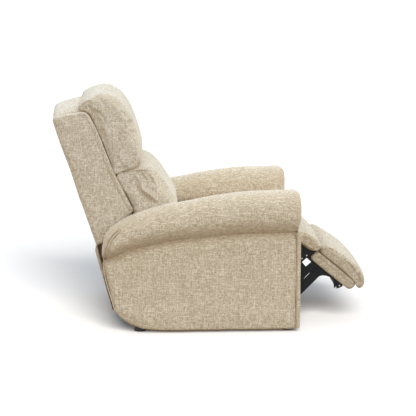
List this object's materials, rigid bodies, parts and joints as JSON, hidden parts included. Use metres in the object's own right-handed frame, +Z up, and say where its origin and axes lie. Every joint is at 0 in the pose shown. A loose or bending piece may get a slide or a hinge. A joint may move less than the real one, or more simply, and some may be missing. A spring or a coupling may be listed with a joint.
{
  "type": "recliner armchair",
  "caption": "Power recliner armchair with rolled pad arms, a two-cushion winged back and a folding legrest on black steel links.",
  "frame": {"origin": "on the floor, at the middle of the chair's footprint in its half-open rest pose", "axes": "+Z up; the chair faces -Y; X is the width, and the sitter's right arm is at -X"},
  "size_m": [0.87, 1.3584, 1.034],
  "materials": {
    "fabric": "beige heathered linen weave",
    "cushion_fabric": "beige heathered linen weave, soft",
    "black_steel": "semi-gloss black powder coat",
    "zinc_steel": "zinc plated",
    "timber": "raw timber",
    "black_plastic": "black moulded plastic",
    "felt": "grey felt and webbing"
  },
  "bodies": {
    "base": {"base_side_plates": "black_steel", "base_cross_tubes": "black_steel", "glide_tracks": "zinc_steel", "floor_glides": "black_plastic", "arm_posts": "timber", "arm_rails": "timber", "arm_inner_panels": "fabric", "arm_bolts": "zinc_steel", "side_panel_left": "fabric", "side_panel_right": "fabric", "arm_front_left": "fabric", "arm_front_right": "fabric", "arm_rear_panels": "fabric", "arm_roll_left": "fabric", "arm_roll_right": "fabric", "back_pivot_pins": "black_steel", "recline_motor": "black_steel", "power_inlet": "black_plastic", "switch_bezel": "black_plastic", "back_flap": "fabric"},
    "recline_button": {"recline_button": "zinc_steel"},
    "return_button": {"return_button": "zinc_steel"},
    "seat": {"seat_plates": "black_steel", "seat_rails": "black_steel", "seat_cross_tubes": "black_steel", "seat_rollers": "black_plastic", "seat_pins": "black_steel", "seat_webbing": "felt", "seat_deck": "felt", "seat_cushion": "cushion_fabric", "seat_front_rail": "timber", "recline_rod": "zinc_steel", "legrest_motor": "black_steel", "drive_rail": "zinc_steel"},
    "carriage": {"drive_carriage": "black_plastic"},
    "backrest": {"back_brackets": "black_steel", "back_pins": "black_steel", "back_stiles": "timber", "back_rails": "timber", "back_webbing": "felt", "back_outer_panel": "fabric", "back_top_panel": "fabric", "back_wing_left": "fabric", "back_wing_right": "fabric", "head_pillow": "cushion_fabric", "lumbar_cushion": "cushion_fabric"},
    "drive_links": {"drive_links": "black_steel", "torque_tube": "black_steel", "drive_levers": "black_steel", "drive_pins": "black_steel"},
    "guide_links": {"guide_links": "black_steel"},
    "lower_links": {"lower_links": "black_steel", "lower_link_pins": "black_steel"},
    "upper_links": {"upper_links": "black_steel"},
    "footrest": {"footrest_brackets": "black_steel", "footrest_brace": "black_steel", "footrest_pins": "black_steel", "footrest_board": "cushion_fabric", "footrest_pad": "cushion_fabric", "knee_pad": "cushion_fabric"}
  },
  "joints": [
    {"name": "seat_glide", "type": "slide", "parent": "base", "child": "seat", "axis": [0, -1, 0], "range_m": [0, 0.0622]},
    {"name": "back_recline", "type": "hinge", "parent": "seat", "child": "backrest", "pos_m": [0, 0.295, 0.33], "axis": [-1, 0, 0], "range_deg": [0, 36], "deforming": ["back_flap"]},
    {"name": "legrest_fold", "type": "hinge", "parent": "seat", "child": "drive_links", "pos_m": [0, -0.262, 0.292], "axis": [-1, 0, 0], "range_deg": [-48, 40]},
    {"name": "guide_pivot", "type": "hinge", "parent": "seat", "child": "guide_links", "pos_m": [0, -0.307, 0.337], "axis": [-1, 0, 0], "range_deg": [-48, 40]},
    {"name": "lower_pivot", "type": "hinge", "parent": "drive_links", "child": "lower_links", "pos_m": [0, -0.357, 0.12746], "axis": [-1, 0, 0], "range_deg": [-40, 48]},
    {"name": "upper_pivot", "type": "hinge", "parent": "drive_links", "child": "upper_links", "pos_m": [0, -0.327, 0.14446], "axis": [-1, 0, 0], "range_deg": [-40, 48]},
    {"name": "footrest_pivot", "type": "hinge", "parent": "lower_links", "child": "footrest", "pos_m": [0, -0.461, 0.23146], "axis": [-1, 0, 0], "range_deg": [-48, 40]},
    {"name": "legrest_carriage", "type": "slide", "parent": "seat", "child": "carriage", "axis": [0, -1, 0], "range_m": [-0.0605, 0.0505]},
    {"name": "recline_button_push", "type": "slide", "parent": "base", "child": "recline_button", "axis": [-1, 0, 0], "range_m": [0, 0.002], "stiffness_N_per_m": 400},
    {"name": "return_button_push", "type": "slide", "parent": "base", "child": "return_button", "axis": [-1, 0, 0], "range_m": [0, 0.002], "stiffness_N_per_m": 400}
  ],
  "couplings": [
    {"joint": "seat_glide", "follows": "back_recline", "m_per_rad": 0.0985},
    {"joint": "guide_pivot", "follows": "legrest_fold", "ratio": 1},
    {"joint": "lower_pivot", "follows": "legrest_fold", "ratio": -1},
    {"joint": "upper_pivot", "follows": "legrest_fold", "ratio": -1},
    {"joint": "footrest_pivot", "follows": "legrest_fold", "ratio": 1},
    {"joint": "legrest_carriage", "follows": "legrest_fold", "m_per_rad": 0.072}
  ]
}
